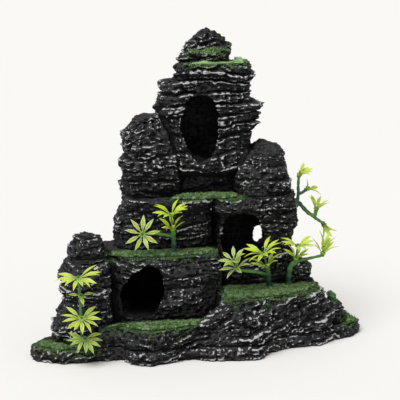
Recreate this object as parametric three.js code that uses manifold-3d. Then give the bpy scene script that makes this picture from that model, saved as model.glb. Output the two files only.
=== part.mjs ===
// Resin cave ornament for an aquarium: a rockery of stacked hollow resin castings, with moss pads
// glued on its ledges and plastic plants whose leaf sprays push onto pegs.
// Millimetres, +Z up, front towards -Y. The origin is under the middle of the whole object.

import * as THREE from "three";
import { mergeVertices } from "three/addons/utils/BufferGeometryUtils.js";
import Module from "manifold-3d";

const wasm = await Module();
wasm.setup();

// ---------------------------------------------------------------- driving dimensions

// Plan size of the rock. Plan coordinates below are drawn for DRAWN_WIDTH x DRAWN_DEPTH
// and stretched to these.
const WIDTH = 239;
const DEPTH = 106;
const DRAWN_WIDTH = 239;
const DRAWN_DEPTH = 106;

// Heights of the flat tops of the castings above the tank floor.
const BASE_TOP = 9;
const STEP_TOP = 22.5;
const OUTCROP_TOP = 25;
const TERRACE_TOP = 39;
const PILLAR_TOP = 54;
const BUTTRESS_TOP = 66;
const LEDGE_TOP = 67.5;
const PINNACLE_TOP = 84;
const CAVE_BLOCK_TOP = 92;
const SHELF_TOP = 105;
const RIGHT_COLUMN_TOP = 140.5;
const LEFT_COLUMN_TOP = 163;
const TOWER_TOP = 196;
const PEAK_TOP = 221.5;

// Glue line between two castings, and between anything else that touches.
const GLUE_GAP = 0.35;

// Cave floors and roofs, and the thickness left over a chamber.
const LOWER_CAVE_FLOOR = 24;
const LOWER_CAVE_ROOF = 63;
const MIDDLE_CAVE_FLOOR = 52;
const MIDDLE_CAVE_ARCH = 3;
const UPPER_CAVE_FLOOR = 127;
const UPPER_CAVE_ROOF = 176;
const ROOF_WALL = 8;
const LOWER_EXIT_ROOF = 52;
const MIDDLE_EXIT_FLOOR = 60;
const MIDDLE_EXIT_ROOF = 75;
const UPPER_EXIT_ROOF = 162;
const LOWER_MOUTH_LEAN = 7;
const UPPER_MOUTH_TAPER = 0.42;

// Where the widest levels of the cast slabs lie, as shares of their tops, and how far a cave cuts
// past the front and back of the rock.
const BASE_SHOULDER = 0.7;
const TERRACE_SHOULDER = 0.9;
const STEP_SHOULDER = 0.75;
const CUT_FRONT = -60;
const CUT_BACK = 70;

// The hollow in the middle block: how far its vent drops into the lower cave, and the step at
// the glue line where the vent opens out into the hollow.
const VENT_DROP = 6;
const VENT_STEP = 1;

// Facets round a casting, how far its faces wander, and how square its plan is.
const ROCK_SIDES = 16;
const ROUGHNESS = 2.4;
const SQUARENESS = 2.9;
const CORNER_LIMIT = 0.35;
const CAVE_SIDES = 12;
const CAVE_SQUARENESS = 2.3;

// Moss pads.
const MOSS_THICKNESS = 1.4;
const MOSS_BEVEL = 0.8;

// Plant stems, the pegs that the leaf sprays push onto, and their sockets in the rock.
const TRUNK_RADIUS = 1.8;
const BRANCH_RADIUS = 1.1;
const HANGER_RADIUS = 1.4;
const PEG_RADIUS = 0.6;
const COLLAR_RADIUS = 1.5;
const COLLAR_HEIGHT = 1.4;
const SOCKET_DEPTH = 6;
const SOCKET_CLEARANCE = 0.3;
const STEM_SIDES = 5;
const STEM_STEP = 5;
const MOSS_HOLE_CLEARANCE = 1.2;

// How far the root peg runs up into the trunk, and how far its hole is cut above the rock.
const ROOT_JOIN = 1;
const HOLE_OVERRUN = 4.2;

// Leaf sprays: a bored hub with flat lance-shaped leaflets.
const HUB_CLEARANCE = 0.35;
const HUB_WALL = 1;
const HUB_HEIGHT = 1.8;
const LEAFLET_WIDTH = 3;
const LEAFLET_NECK = 1;
const LEAFLET_THICKNESS = 0.7;
const LEAFLET_WIDEST = 0.5;
const PEG_TIP = 0.8;

// ---------------------------------------------------------------- helpers

const stretchX = WIDTH / DRAWN_WIDTH;
const stretchY = DEPTH / DRAWN_DEPTH;

// A plan position as drawn, stretched to the set width and depth.
function place(x, y, z) {
  return new THREE.Vector3(x * stretchX, y * stretchY, z);
}

// A repeatable random number generator, so that a casting and its clearance copy match.
function randomFrom(seed) {
  let state = seed;
  return () => {
    state = (state * 1664525 + 1013904223) % 4294967296;
    return state / 4294967296;
  };
}

// A closed three.js geometry as a manifold solid that faces out.
function solidFrom(geometry, matrix = new THREE.Matrix4()) {
  const bare = new THREE.BufferGeometry();
  const source = geometry.index ? geometry.toNonIndexed() : geometry;
  bare.setAttribute("position", source.getAttribute("position").clone());
  bare.applyMatrix4(matrix);
  const merged = mergeVertices(bare, 1e-4);
  const corners = merged.index.array;
  const triangles = [];
  for (let i = 0; i < corners.length; i += 3) {
    const [a, b, c] = corners.slice(i, i + 3);
    if (a !== b && b !== c && c !== a) triangles.push(a, b, c);
  }
  return new wasm.Manifold(
    new wasm.Mesh({
      numProp: 3,
      vertProperties: merged.attributes.position.array,
      triVerts: new Uint32Array(triangles),
    }),
  );
}

// A manifold solid as a three.js geometry with flat shading.
function geometryFrom(solid) {
  const mesh = solid.getMesh();
  const geometry = new THREE.BufferGeometry();
  geometry.setAttribute("position", new THREE.BufferAttribute(mesh.vertProperties, 3));
  geometry.setIndex(new THREE.BufferAttribute(mesh.triVerts, 1));
  const flat = geometry.toNonIndexed();
  flat.computeVertexNormals();
  return flat;
}

// A cut can leave a crumb loose, so the casting is its biggest body.
function biggestBody(solid) {
  return solid.decompose().reduce((best, body) => (body.volume() > best.volume() ? body : best));
}

// Triangles over a flat ring, level or upright, wound the way that the ring runs.
function ringTriangles(ring) {
  const level = ring.every((p) => p.z === ring[0].z);
  const flat = ring.map((p) => new THREE.Vector2(p.x, level ? p.y : p.z));
  const triangles = THREE.ShapeUtils.triangulateShape(flat, []);
  const area = (list) => THREE.ShapeUtils.area(list.map((i) => flat[i]));
  const total = triangles.reduce((sum, triangle) => sum + area(triangle), 0);
  const same = total * THREE.ShapeUtils.area(flat) > 0;
  return same ? triangles : triangles.map(([a, b, c]) => [c, b, a]);
}

// A closed skin over rings of points, all with the same count, capped at each end.
function loft(rings) {
  const corners = [];
  const push = (a, b, c) => corners.push(...a, ...b, ...c);
  for (let r = 0; r + 1 < rings.length; r++) {
    for (let i = 0; i < rings[r].length; i++) {
      const j = (i + 1) % rings[r].length;
      push(rings[r][i], rings[r][j], rings[r + 1][j]);
      push(rings[r][i], rings[r + 1][j], rings[r + 1][i]);
    }
  }
  const first = rings[0];
  const last = rings[rings.length - 1];
  for (const [a, b, c] of ringTriangles(first)) push(first[c], first[b], first[a]);
  for (const [a, b, c] of ringTriangles(last)) push(last[a], last[b], last[c]);
  const geometry = new THREE.BufferGeometry();
  geometry.setAttribute("position", new THREE.Float32BufferAttribute(corners, 3));
  return solidFrom(geometry);
}

// The rounded-square point at an angle, between two pairs of limits.
function ovalPoint(angle, low1, high1, low2, high2, squareness) {
  const c = Math.cos(angle);
  const s = Math.sin(angle);
  const half1 = (high1 - low1) / 2;
  const half2 = (high2 - low2) / 2;
  return [
    (low1 + high1) / 2 + half1 * Math.sign(c) * Math.abs(c) ** (2 / squareness),
    (low2 + high2) / 2 + half2 * Math.sign(s) * Math.abs(s) ** (2 / squareness),
  ];
}

// An outline moved outwards by a distance, with its corners kept as sharp as the limit lets them.
function offsetOutline(outline, distance) {
  return outline.map(([x, y], i) => {
    const [px, py] = outline[(i + outline.length - 1) % outline.length];
    const [nx, ny] = outline[(i + 1) % outline.length];
    const after = new THREE.Vector2(ny - y, x - nx).normalize();
    const corner = new THREE.Vector2(y - py, px - x).normalize().add(after).normalize();
    const reach = distance / Math.max(corner.dot(after), CORNER_LIMIT);
    return [x + corner.x * reach, y + corner.y * reach];
  });
}

// ---------------------------------------------------------------- rock castings

// The rings of a casting, or of its clearance copy, which has one more ring below and above.
function withEnds(rings, grow) {
  if (grow === 0) return rings;
  const moved = (ring, by) => ring.map((p) => p.clone().setZ(p.z + by));
  return [moved(rings[0], -grow), ...rings, moved(rings[rings.length - 1], grow)];
}

// Rings of a casting given as rows of [share of height, left, right, front, back].
function blockRings({ from, to, rows, seed }, grow) {
  const random = randomFrom(seed);
  const rings = rows.map(([share, left, right, front, back]) => {
    const z = from + (to - from) * share;
    const ring = [];
    for (let i = 0; i < ROCK_SIDES; i++) {
      const wander = ROUGHNESS * (random() - 0.5) + grow;
      const low = place(left, front, 0);
      const high = place(right, back, 0);
      const angle = (2 * Math.PI * i) / ROCK_SIDES;
      const [x, y] = ovalPoint(
        angle,
        low.x - wander,
        high.x + wander,
        low.y - wander,
        high.y + wander,
        SQUARENESS,
      );
      ring.push(new THREE.Vector3(x, y, z));
    }
    return ring;
  });
  return withEnds(rings, grow);
}

// Rings of a casting given as rows of [height, outline in plan, distance out from it].
function slabRings({ levels }, grow) {
  const rings = levels.map(([z, outline, out]) => {
    const drawn = outline.map(([x, y]) => [x * stretchX, y * stretchY]);
    return offsetOutline(drawn, out + grow).map(([x, y]) => new THREE.Vector3(x, y, z));
  });
  return withEnds(rings, grow);
}

// A passage along Y given as rows of [y, left, right, floor, roof]. It narrows towards its floor by
// the taper, a share of its width, and its roof stands to the right of its floor by the lean.
function passage(rows, { taper = 0, lean = 0 } = {}) {
  return loft(
    rows.map(([y, left, right, floor, roof]) => {
      const low = place(left, y, 0);
      const high = place(right, y, 0);
      const middle = (low.x + high.x) / 2;
      const ring = [];
      for (let i = 0; i < CAVE_SIDES; i++) {
        const angle = -(2 * Math.PI * i) / CAVE_SIDES;
        const [x, z] = ovalPoint(angle, low.x, high.x, floor, roof, CAVE_SQUARENESS);
        const rise = (z - floor) / (roof - floor);
        const width = 1 - taper * (1 - rise);
        ring.push(new THREE.Vector3(middle + (x - middle) * width + lean * (rise - 0.5), low.y, z));
      }
      return ring;
    }),
  );
}

// Lower cave: mouth over the lawn, a wide chamber, and a way out at the back on the right.
const lowerCave = () =>
  passage(
    [
      [CUT_FRONT, -53, -28, LOWER_CAVE_FLOOR, LOWER_CAVE_ROOF],
      [-20, -53, -28, LOWER_CAVE_FLOOR, LOWER_CAVE_ROOF],
      [-10, -55, -24, LOWER_CAVE_FLOOR - 2, LOWER_CAVE_ROOF - 3],
      [2, -55, -6, LOWER_CAVE_FLOOR - 2, LEDGE_TOP - ROOF_WALL],
      [20, -54, 12, LOWER_CAVE_FLOOR - 2, LEDGE_TOP - ROOF_WALL],
      [36, -46, 13, LOWER_CAVE_FLOOR - 2, LEDGE_TOP - ROOF_WALL],
    ],
    { lean: LOWER_MOUTH_LEAN },
  ).add(
    passage([
      [30, -12, 12, LOWER_CAVE_FLOOR - 1, LOWER_EXIT_ROOF],
      [CUT_BACK, -12, 12, LOWER_CAVE_FLOOR - 1, LOWER_EXIT_ROOF],
    ]),
  );

// Middle cave: mouth above the terrace, and a narrow way out at the back that shows daylight.
const middleCave = () =>
  passage([
    [CUT_FRONT, 16, 45, MIDDLE_CAVE_FLOOR, CAVE_BLOCK_TOP + MIDDLE_CAVE_ARCH],
    [-6, 16, 45, MIDDLE_CAVE_FLOOR, CAVE_BLOCK_TOP + MIDDLE_CAVE_ARCH],
    [8, 18, 51, MIDDLE_CAVE_FLOOR, CAVE_BLOCK_TOP + MIDDLE_CAVE_ARCH],
    [32, 22, 59, MIDDLE_CAVE_FLOOR, CAVE_BLOCK_TOP - 2],
  ]).add(
    passage([
      [26, 47.5, 54.3, MIDDLE_EXIT_FLOOR, MIDDLE_EXIT_ROOF],
      [CUT_BACK, 49.7, 56.5, MIDDLE_EXIT_FLOOR, MIDDLE_EXIT_ROOF],
    ]),
  );

// Upper cave: a tall mouth in the tower, and a slot at the back on the right.
const upperCave = () =>
  passage(
    [
      [CUT_FRONT, -13, 20.5, UPPER_CAVE_FLOOR, UPPER_CAVE_ROOF - 1],
      [8, -13, 20.5, UPPER_CAVE_FLOOR, UPPER_CAVE_ROOF - 1],
      [14, -14, 24, UPPER_CAVE_FLOOR, UPPER_CAVE_ROOF],
      [24, -14, 38, UPPER_CAVE_FLOOR, UPPER_CAVE_ROOF],
      [35, -12, 38, UPPER_CAVE_FLOOR, UPPER_CAVE_ROOF - 4],
    ],
    { taper: UPPER_MOUTH_TAPER },
  ).add(
    passage([
      [28, 26, 38, UPPER_CAVE_FLOOR + 5, UPPER_EXIT_ROOF],
      [CUT_BACK, 26, 38, UPPER_CAVE_FLOOR + 5, UPPER_EXIT_ROOF],
    ]),
  );

// The middle block is cast hollow, open below, and vents through a hole into the lower cave.
const middleHollow = () => {
  const vent = [-30, -4, 14, 32];
  const hollow = [-44, 6, 12, 37];
  const levels = [
    [LEDGE_TOP - ROOF_WALL - VENT_DROP, vent],
    [LEDGE_TOP + GLUE_GAP / 2, vent],
    [LEDGE_TOP + VENT_STEP, hollow],
    [SHELF_TOP - ROOF_WALL, hollow],
  ];
  return loft(
    levels.map(([z, [left, right, front, back]]) => {
      const low = place(left, front, 0);
      const high = place(right, back, 0);
      const ring = [];
      for (let i = 0; i < CAVE_SIDES; i++) {
        const angle = (2 * Math.PI * i) / CAVE_SIDES;
        const [x, y] = ovalPoint(angle, low.x, high.x, low.y, high.y, SQUARENESS);
        ring.push(new THREE.Vector3(x, y, z));
      }
      return ring;
    }),
  );
};

// Plan outlines, anticlockwise from the front left.
const BASE_OUTLINE = [
  [-117, -22], [-97, -33], [-71, -31], [-57, -31.5], [-50, -43], [-38, -47], [-27, -42],
  [-9, -38], [6, -45], [21, -47.5], [34, -46], [45, -35], [59, -28], [84, -24], [97, -12],
  [111, -8], [120, 3], [117, 22], [101, 38], [76, 51], [40, 57], [0, 58.5], [-44, 56],
  [-74, 47], [-94, 31], [-105, 10], [-118.5, -9],
];
const STEP_OUTLINE = [
  [-72, -27], [-58, -28], [-50, -38], [-38, -43], [-25, -39], [-9, -35], [5, -40],
  [12, -38], [12, -12], [-72, -12],
];
const TERRACE_FOOT = [
  [-33, -42], [-20, -39], [-5, -37.5], [10, -42.5], [21, -44.5], [34, -43], [46, -33], [60, -26],
  [83, -22], [95, -11], [99, 4], [95, 24], [78, 40], [50, 44], [24, 40], [14, 8], [9, -18],
  [-12, -28], [-33, -38],
];
const TERRACE_WAIST = [
  [-7, -38.5], [0, -37], [7, -36.5], [14, -38], [22, -40], [35, -38], [47, -32], [61, -27],
  [81, -22], [93, -10], [95, 4], [91, 22], [76, 37], [50, 41], [24, 38], [13, 6], [10, -16],
  [4, -26], [-7, -34.5],
];
const TERRACE_BROW = [
  [12, -30], [14, -31], [16.5, -31.5], [20, -32.3], [24, -33], [36, -32], [48, -29.5], [62, -27],
  [78, -21], [87, -10], [89, 3], [86, 19], [73, 33], [50, 38], [24, 36], [14, 4], [13, -12],
  [12.5, -20], [12, -26],
];

const SLABS = [
  {
    name: "base_slab",
    levels: [
      [0, BASE_OUTLINE, -0.8],
      [2.5, BASE_OUTLINE, 0],
      [BASE_TOP * BASE_SHOULDER, BASE_OUTLINE, -0.5],
      [BASE_TOP, BASE_OUTLINE, -2.5],
    ],
    caves: [],
    clearOf: [],
  },
  {
    name: "right_terrace",
    levels: [
      [BASE_TOP + GLUE_GAP, TERRACE_FOOT, 0],
      [(BASE_TOP + TERRACE_TOP) / 2, TERRACE_WAIST, 0.5],
      [TERRACE_TOP * TERRACE_SHOULDER, TERRACE_BROW, 1.5],
      [TERRACE_TOP, TERRACE_BROW, 0],
    ],
    caves: [],
    clearOf: [],
  },
  {
    name: "front_step",
    levels: [
      [BASE_TOP + GLUE_GAP, STEP_OUTLINE, 1],
      [STEP_TOP * STEP_SHOULDER, STEP_OUTLINE, 1.5],
      [STEP_TOP, STEP_OUTLINE, 0],
    ],
    caves: [],
    clearOf: ["right_terrace"],
  },
];

// Castings whose section is a rounded square: rows of [share of height, left, right, front, back].
const BLOCKS = [
  {
    name: "lower_cave_block",
    seed: 11,
    from: BASE_TOP + GLUE_GAP,
    to: LEDGE_TOP,
    rows: [
      [0, -64, 22, -16, 50],
      [0.24, -66, 22, -18, 50],
      [0.42, -63, 20, -20, 49],
      [0.62, -62, 21, -18, 49],
      [0.8, -64, 20, -21, 48],
      [0.92, -67, 18, -19, 48],
      [1, -65, 17, -16, 47],
    ],
    caves: [lowerCave, middleHollow],
    clearOf: ["front_step", "right_terrace"],
  },
  {
    name: "left_buttress",
    seed: 23,
    from: BASE_TOP + GLUE_GAP,
    to: BUTTRESS_TOP,
    rows: [
      [0, -102, -57, -24, 30],
      [0.2, -100, -58, -24, 29],
      [0.42, -94, -60, -22, 28],
      [0.6, -96, -60, -23, 27],
      [0.75, -97, -61, -21, 26],
      [0.9, -92, -62, -20, 25],
      [1, -89, -63, -16, 23],
    ],
    caves: [],
    clearOf: ["lower_cave_block", "front_step"],
  },
  {
    name: "left_pinnacle",
    seed: 37,
    from: BUTTRESS_TOP + GLUE_GAP,
    to: PINNACLE_TOP,
    rows: [
      [0, -91, -61, -10, 20],
      [0.3, -89, -62, -9, 19],
      [0.6, -85, -64, -6, 16],
      [0.85, -82, -68, -3, 13],
      [1, -79, -71, 0, 9],
    ],
    caves: [],
    clearOf: ["lower_cave_block"],
  },
  {
    name: "middle_block",
    seed: 41,
    from: LEDGE_TOP + GLUE_GAP,
    to: SHELF_TOP,
    rows: [
      [0, -57, 16, 3, 46],
      [0.25, -56, 15, 2, 46],
      [0.5, -56, 14, 1, 46],
      [0.7, -53, 13, 0, 46],
      [0.85, -50, 14, -8, 46],
      [1, -50, 14, -10, 45],
    ],
    caves: [middleHollow],
    clearOf: ["left_pinnacle"],
  },
  {
    name: "right_cave_block",
    seed: 53,
    from: TERRACE_TOP + GLUE_GAP,
    to: CAVE_BLOCK_TOP,
    rows: [
      [0, 16, 77, 2, 47],
      [0.14, 13, 78, 0, 47],
      [0.28, 13, 77, 1, 46],
      [0.42, 14, 73, -5, 46],
      [0.62, 14, 71, -6, 46],
      [0.8, 14, 76, -7, 46],
      [1, 14, 76, -8, 45],
    ],
    caves: [middleCave],
    clearOf: ["lower_cave_block", "middle_block"],
  },
  {
    name: "right_rear_pillar",
    seed: 67,
    from: TERRACE_TOP + GLUE_GAP,
    to: PILLAR_TOP,
    rows: [
      [0, 62, 80, 0, 30],
      [0.3, 62, 85, -2, 32],
      [0.75, 62, 86, -1, 31],
      [1, 64, 81, 3, 27],
    ],
    caves: [],
    clearOf: ["right_cave_block"],
  },
  {
    name: "cave_hood",
    seed: 71,
    from: CAVE_BLOCK_TOP + GLUE_GAP,
    to: SHELF_TOP,
    rows: [
      [0, 10, 72, -9, 45],
      [0.35, 10, 72, -12, 45],
      [0.7, 10, 72, -11, 44],
      [1, 10, 71, -11, 44],
    ],
    caves: [middleCave],
    clearOf: ["middle_block"],
  },
  {
    name: "tower_block",
    seed: 83,
    from: SHELF_TOP + GLUE_GAP,
    to: TOWER_TOP,
    rows: [
      [0, -24, 46, 12, 44],
      [0.12, -23, 45, 12, 44],
      [0.2, -25, 44, 0, 45],
      [0.32, -20, 43, 3, 45],
      [0.44, -21, 42, 5, 45],
      [0.56, -24, 47, 5, 45],
      [0.66, -26, 49, 6, 44],
      [0.74, -21, 42, 7, 43],
      [0.82, -21, 41, 8, 42],
      [0.9, -12, 44, 7, 41],
      [0.96, -14, 42, 5, 40],
      [1, -12, 40, 7, 39],
    ],
    caves: [upperCave],
    clearOf: [],
  },
  {
    name: "left_column",
    seed: 97,
    from: SHELF_TOP + GLUE_GAP,
    to: LEFT_COLUMN_TOP,
    rows: [
      [0, -50, -9, 2, 38],
      [0.18, -51, -8, 0, 38],
      [0.34, -51, -10, -3, 38],
      [0.5, -49, -13, -1, 37],
      [0.64, -49, -16, -1, 36],
      [0.76, -53, -18, 0, 34],
      [0.85, -46, -21, 3, 31],
      [0.94, -43, -23, 6, 28],
      [1, -38, -27, 10, 24],
    ],
    caves: [],
    clearOf: ["tower_block"],
  },
  {
    name: "right_column",
    seed: 101,
    from: SHELF_TOP + GLUE_GAP,
    to: RIGHT_COLUMN_TOP,
    rows: [
      [0, 28, 69, -8, 38],
      [0.22, 26, 69, -6, 38],
      [0.5, 28, 68, -6, 36],
      [0.72, 33, 66, -4, 34],
      [0.9, 40, 66, -1, 31],
      [1, 47, 63, 4, 27],
    ],
    caves: [],
    clearOf: ["tower_block"],
  },
  {
    name: "peak_cap",
    seed: 113,
    from: TOWER_TOP + GLUE_GAP,
    to: PEAK_TOP,
    rows: [
      [0, -10, 28, 14, 37],
      [0.25, -8, 28, 13, 36],
      [0.45, -4, 27, 15, 35],
      [0.7, 0, 25, 16, 33],
      [0.88, 5, 22, 19, 31],
      [1, 11, 19, 22, 29],
    ],
    caves: [],
    clearOf: [],
  },
  {
    name: "rear_outcrop",
    seed: 127,
    from: BASE_TOP + GLUE_GAP,
    to: OUTCROP_TOP,
    rows: [
      [0, 86, 110, -6, 28],
      [0.4, 86, 107, -5, 28],
      [0.75, 88, 109, -4, 27],
      [1, 90, 106, 0, 24],
    ],
    caves: [],
    clearOf: ["right_terrace"],
  },
];

// ---------------------------------------------------------------- moss pads

const MOSS_PADS = [
  {
    name: "peak_moss",
    level: TOWER_TOP,
    outline: [[-4, 9.5], [8, 8.5], [24, 8.5], [35, 10], [37, 18], [36, 28], [31, 30], [31, 16],
      [26, 11.5], [0, 11.5]],
    clearOf: ["peak_cap"],
  },
  {
    name: "upper_shelf_moss",
    level: SHELF_TOP,
    outline: [[-19, -4], [-8, -7], [6, -8], [18, -8], [28, -6], [29, 0], [22, 6.5], [-10, 6.5],
      [-13, 2]],
    clearOf: ["tower_block", "left_column", "right_column"],
  },
  {
    name: "mid_ledge_moss",
    level: LEDGE_TOP,
    outline: [[-61, -8], [-50, -13], [-34, -14.5], [-16, -14.5], [2, -14], [11, -10], [12, -3],
      [0, -1], [-30, -1.5], [-55, 0], [-60, 2]],
    clearOf: ["middle_block", "left_pinnacle", "right_cave_block"],
  },
  {
    name: "lower_lawn_moss",
    level: STEP_TOP,
    outline: [[-68, -25.5], [-57, -26], [-48, -35], [-38, -39.5], [-25, -36.5], [-9, -32.5], [4, -36],
      [10, -34], [10, -24], [-10, -22.5], [-30, -22.5], [-56, -22.5]],
    clearOf: ["lower_cave_block", "left_buttress", "right_terrace"],
  },
  {
    name: "left_foot_moss",
    level: BASE_TOP,
    outline: [[-112, -20], [-97, -29.5], [-84, -29.8], [-75, -29.5], [-75, -24], [-84, -20],
      [-98, -18], [-106, -8], [-112, -10]],
    clearOf: ["left_buttress", "front_step"],
  },
  {
    name: "right_terrace_moss",
    level: TERRACE_TOP,
    outline: [[16, -29], [24, -31.5], [35, -30.5], [47, -28], [62, -25.5], [76, -19.5], [85, -9],
      [85, -4], [60, -2.5], [40, -2], [18, -2]],
    clearOf: ["right_cave_block", "right_rear_pillar", "lower_cave_block"],
  },
  {
    name: "rear_foot_moss",
    level: BASE_TOP,
    outline: [[107, -8], [111, -6], [116.5, 3], [114, 20], [103, 34], [100, 33], [106, 27],
      [109, 18], [109, 4]],
    clearOf: ["rear_outcrop", "right_terrace"],
  },
  {
    name: "outcrop_moss",
    level: OUTCROP_TOP,
    outline: [[99, 4], [103, 5], [104, 12], [103, 20], [99, 21], [97, 12]],
    clearOf: ["right_terrace"],
  },
];

// ---------------------------------------------------------------- plants

// Each plant has a root in a drilled socket, limbs as points measured from the root, and on the
// peg at the end of a limb one or more leaf sprays: how far up the peg, how many leaflets, their
// length, how far they cup up, the angle they spread over and the side that the spread faces.
const PLANTS = [
  {
    name: "ledge_tree",
    root: { block: "lower_cave_block", at: [-18, -7], level: LEDGE_TOP, into: [0, 0, -1] },
    limbs: [
      {
        points: [[0, 0, 1], [0.2, -1, 7], [-0.4, -3.4, 13], [-1, -6.3, 17.5]],
        radius: TRUNK_RADIUS,
        axis: [-0.15, -0.3, 0.94],
        sprays: [
          { name: "crown_lower", up: 0, leaves: 6, length: 11, cup: 42 },
          { name: "crown_upper", up: 11.5, leaves: 11, length: 13, cup: 30, spread: 280 },
        ],
      },
      {
        points: [[-0.5, -3.4, 13], [-8, -6, 15.5], [-16, -8, 17], [-22.5, -9, 16.5]],
        radius: BRANCH_RADIUS,
        axis: [-0.15, -0.85, 0.5],
        sprays: [{ name: "side", up: 0, leaves: 9, length: 12.5, cup: 10 }],
      },
    ],
  },
  {
    name: "terrace_tree_left",
    root: { block: "right_terrace", at: [50, -7], level: TERRACE_TOP, into: [0, 0, -1] },
    limbs: [
      {
        points: [[0, 0, 1], [-0.5, -0.8, 6], [-1.5, -3, 12], [-2.5, -5.5, 16.5]],
        radius: TRUNK_RADIUS,
        axis: [-0.28, -0.3, 0.9],
        sprays: [
          { name: "crown_lower", up: 0, leaves: 7, length: 13, cup: 32, spread: 250 },
          { name: "crown_upper", up: 11, leaves: 11, length: 14, cup: 20, spread: 280 },
        ],
      },
      {
        points: [[-1.2, -2.4, 10.5], [-9, -7, 14], [-17, -10, 16], [-25, -12, 18]],
        radius: BRANCH_RADIUS,
        axis: [-0.38, -0.25, 0.88],
        sprays: [
          { name: "low_under", up: 0, leaves: 7, length: 12, cup: 8 },
          { name: "low_over", up: 6.5, leaves: 7, length: 10.5, cup: 24 },
        ],
      },
    ],
  },
  {
    name: "terrace_tree_right",
    root: { block: "right_terrace", at: [64.5, -5.5], level: TERRACE_TOP, into: [0, 0, -1] },
    limbs: [
      {
        points: [[0, 0, 1], [0, -0.5, 8], [1, -1.5, 15], [4, -3.5, 20]],
        radius: TRUNK_RADIUS,
        axis: [0.05, -0.25, 0.96],
        sprays: [
          { name: "crown_lower", up: 0, leaves: 7, length: 10.5, cup: 40, spread: 300 },
          { name: "crown_upper", up: 10, leaves: 10, length: 12, cup: 18, spread: 235 },
        ],
      },
      {
        points: [[1.2, -1.8, 16], [8, -1.5, 19.5], [16, -1, 20.5], [24, -1, 22]],
        radius: BRANCH_RADIUS,
        axis: [0.15, -0.12, 0.98],
        sprays: [
          { name: "side_lower", up: 0, leaves: 6, length: 12, cup: 44 },
          { name: "side_upper", up: 3.5, leaves: 5, length: 13, cup: 66 },
        ],
      },
    ],
  },
  {
    name: "wall_climber",
    root: { block: "base_slab", at: [-84, -27.5], level: BASE_TOP, into: [0, 0, -1] },
    limbs: [
      {
        points: [[0, 0, 1], [0, -2.5, 6], [-0.5, -3.5, 14], [-1, -4, 30], [-2, -5, 50]],
        radius: BRANCH_RADIUS,
        axis: [-0.1, -0.35, 0.93],
        sprays: [
          { name: "top", up: 0, leaves: 11, length: 14.5, cup: 10, spread: 230 },
        ],
      },
      {
        points: [[-1.4, -4.2, 35], [-1.2, -6.5, 36.5], [-1, -8, 38.5]],
        radius: BRANCH_RADIUS,
        axis: [0, -0.5, 0.86],
        sprays: [{ name: "pair", up: 0, leaves: 3, length: 8, cup: 5, spread: 210 }],
      },
      {
        points: [[-0.6, -3.8, 19], [-0.8, -6, 20.5], [-1, -8, 23]],
        radius: BRANCH_RADIUS,
        axis: [0, -0.6, 0.8],
        sprays: [{ name: "middle", up: 0, leaves: 11, length: 13, cup: 8, spread: 260 }],
      },
      {
        points: [[0, -2.8, 5.5], [0.5, -5, 6.5], [1, -7, 8.5]],
        radius: BRANCH_RADIUS,
        axis: [0.05, -0.7, 0.7],
        sprays: [{ name: "low", up: 0, leaves: 9, length: 11.5, cup: 6, spread: 220 }],
      },
    ],
  },
  {
    name: "column_hanger",
    root: { block: "cave_hood", side: [3, 99], into: [-1, 0, 0] },
    limbs: [
      {
        points: [[1, 0, 0], [4, -1, -2], [8, -1.5, -6.5], [12, -2, -10], [15, -2.4, -10.5],
          [15.5, -2.6, -7.5]],
        radius: HANGER_RADIUS,
        axis: [0.15, -0.15, 0.97],
        sprays: [{ name: "outer", up: 0, leaves: 7, length: 10, cup: 48 }],
      },
      {
        points: [[2.4, -0.5, -0.6], [3, -1, 5], [2.8, -1.2, 10], [3, -1.5, 17.5]],
        radius: BRANCH_RADIUS,
        axis: [0.25, -0.25, 0.93],
        sprays: [
          { name: "top", up: 0, leaves: 7, length: 9.5, cup: 34, spread: 190, facing: [1, -0.5, 0] },
        ],
      },
      {
        points: [[3, -1.2, 5], [5.5, -1.5, 6], [8, -2, 8]],
        radius: BRANCH_RADIUS,
        axis: [0.75, -0.25, 0.6],
        sprays: [
          { name: "inner", up: 0, leaves: 4, length: 9, cup: 32, spread: 200, facing: [1, -1, 0] },
        ],
      },
      {
        points: [[11, -1.9, -9], [15, -0.5, -12.5], [19, 1.5, -15.5], [22.5, 3.5, -18]],
        radius: BRANCH_RADIUS,
        axis: [0.5, 0.1, -0.86],
        sprays: [{ name: "end", up: 0, leaves: 5, length: 10, cup: 62 }],
      },
    ],
  },
];

const unit = (list) => new THREE.Vector3(...list).normalize();

// A turn that takes +Z to the axis and +X as near as it can to the facing side.
function turnTo(axis, facing = [0, -1, 0]) {
  const z = axis.clone().normalize();
  const y = new THREE.Vector3().crossVectors(z, new THREE.Vector3(...facing)).normalize();
  const x = new THREE.Vector3().crossVectors(y, z);
  return new THREE.Quaternion().setFromRotationMatrix(new THREE.Matrix4().makeBasis(x, y, z));
}

// A round rod along straight or curved points.
function rod(points, radius) {
  const curve = new THREE.CatmullRomCurve3(points);
  const shape = new THREE.Shape();
  for (let i = 0; i < STEM_SIDES; i++) {
    const angle = (2 * Math.PI * i) / STEM_SIDES;
    const move = i === 0 ? "moveTo" : "lineTo";
    shape[move](radius * Math.cos(angle), radius * Math.sin(angle));
  }
  const steps = Math.max(1, Math.round(curve.getLength() / STEM_STEP));
  return solidFrom(
    new THREE.ExtrudeGeometry(shape, { steps, bevelEnabled: false, extrudePath: curve }),
  );
}

// A straight round bar between two points.
function bar(from, to, radius) {
  const length = from.distanceTo(to);
  const geometry = new THREE.CylinderGeometry(radius, radius, length, STEM_SIDES);
  const along = to.clone().sub(from).normalize();
  const turn = new THREE.Quaternion().setFromUnitVectors(new THREE.Vector3(0, 1, 0), along);
  const middle = from.clone().add(to).multiplyScalar(0.5);
  return solidFrom(geometry, new THREE.Matrix4().compose(middle, turn, new THREE.Vector3(1, 1, 1)));
}

const boreRadius = PEG_RADIUS + HUB_CLEARANCE;
const hubRadius = boreRadius + HUB_WALL;

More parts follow.
